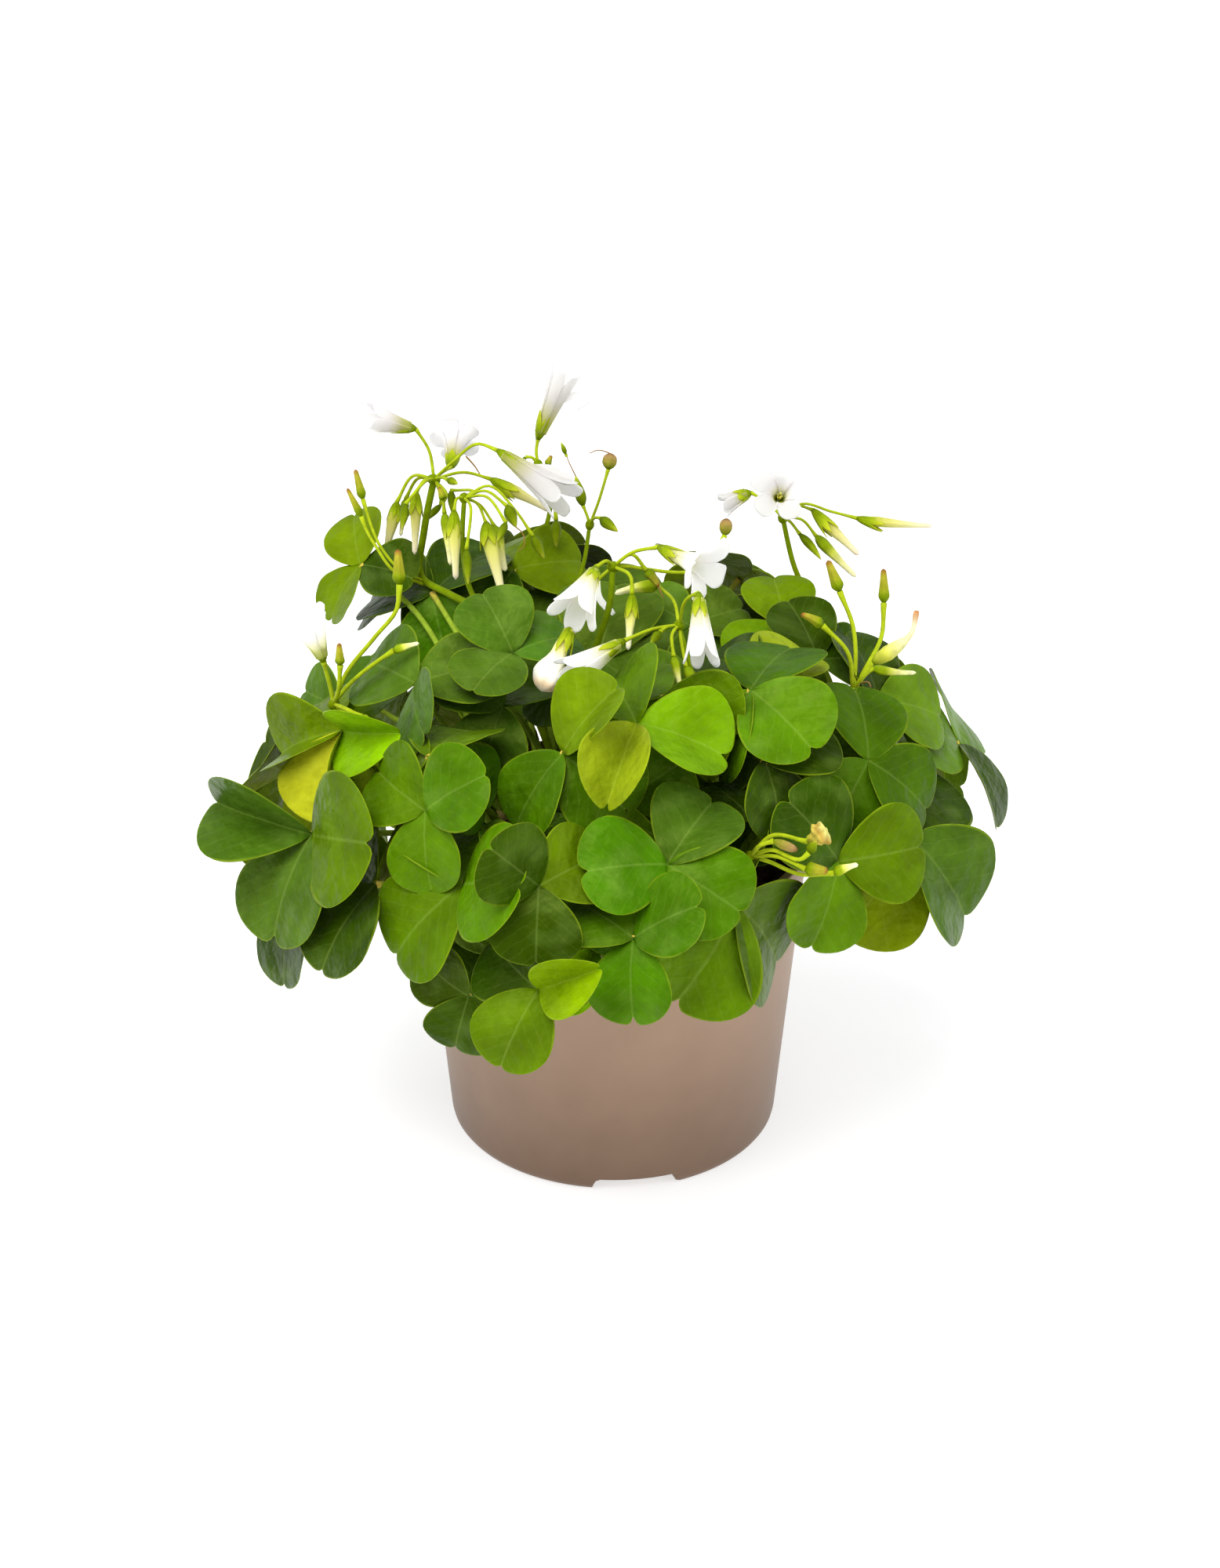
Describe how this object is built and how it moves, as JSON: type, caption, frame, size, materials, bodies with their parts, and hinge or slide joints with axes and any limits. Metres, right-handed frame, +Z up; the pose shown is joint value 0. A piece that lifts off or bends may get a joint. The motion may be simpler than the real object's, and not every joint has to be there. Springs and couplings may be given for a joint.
{
  "type": "potted green-leaved shamrock plant",
  "caption": "Green-leaved shamrock (Oxalis) in flower: a dome of three-part notched leaves and small white flowers, growing in a round tapered plastic nursery pot.",
  "frame": {"origin": "on the pot's axis, at the surface that its foot ring stands on, under the middle of the whole plant", "axes": "+Z up along the pot's axis; -Y is the plant's fuller front; +X to the right seen from the front"},
  "size_m": [0.238, 0.2465, 0.2131],
  "materials": {
    "pot": "satin taupe polypropylene",
    "soil": "rough dark peat",
    "leaf": "soft satin leaf, waxy sheen",
    "stalk": "smooth juicy stem",
    "petal": "thin matte petal"
  },
  "bodies": {
    "root": {"flower_a1": "petal", "flower_a2": "petal", "flower_a3": "petal", "flower_a4": "petal", "flower_a5": "petal", "flower_a6": "petal", "flower_b1": "petal", "flower_b2": "petal", "flower_d1": "petal", "flower_d2": "petal", "flower_d3": "petal", "flower_d4": "petal", "flower_e1": "petal", "flower_e2": "petal", "flower_f1": "petal", "flower_f2": "petal", "flower_f3": "petal", "flower_f4": "petal", "flower_h1": "petal", "flower_t1": "petal", "leaf_clump_01": "leaf", "leaf_clump_02": "leaf", "leaf_clump_03": "leaf", "leaf_clump_04": "leaf", "leaf_clump_05": "leaf", "leaf_clump_06": "leaf", "leaf_clump_07": "leaf", "leaf_clump_08": "leaf", "leaf_clump_09": "leaf", "leaf_clump_10": "leaf", "leaf_clump_11": "leaf", "leaf_clump_12": "leaf", "leaf_clump_13": "leaf", "leaf_clump_14": "leaf", "leaf_clump_15": "leaf", "leaf_clump_16": "leaf", "leaf_clump_17": "leaf", "leaf_clump_18": "leaf", "leaf_clump_19": "leaf", "leaf_clump_20": "leaf", "leaf_clump_21": "leaf", "leaf_clump_22": "leaf", "leaf_clump_23": "leaf", "leaf_clump_24": "leaf", "leaf_clump_25": "leaf", "nursery_pot": "pot", "potting_soil": "soil", "umbel_a": "stalk", "umbel_b": "stalk", "umbel_c": "stalk", "umbel_d": "stalk", "umbel_e": "stalk", "umbel_f": "stalk", "umbel_g": "stalk", "umbel_h": "stalk", "umbel_i": "stalk", "umbel_t": "stalk"}
  },
  "joints": []
}
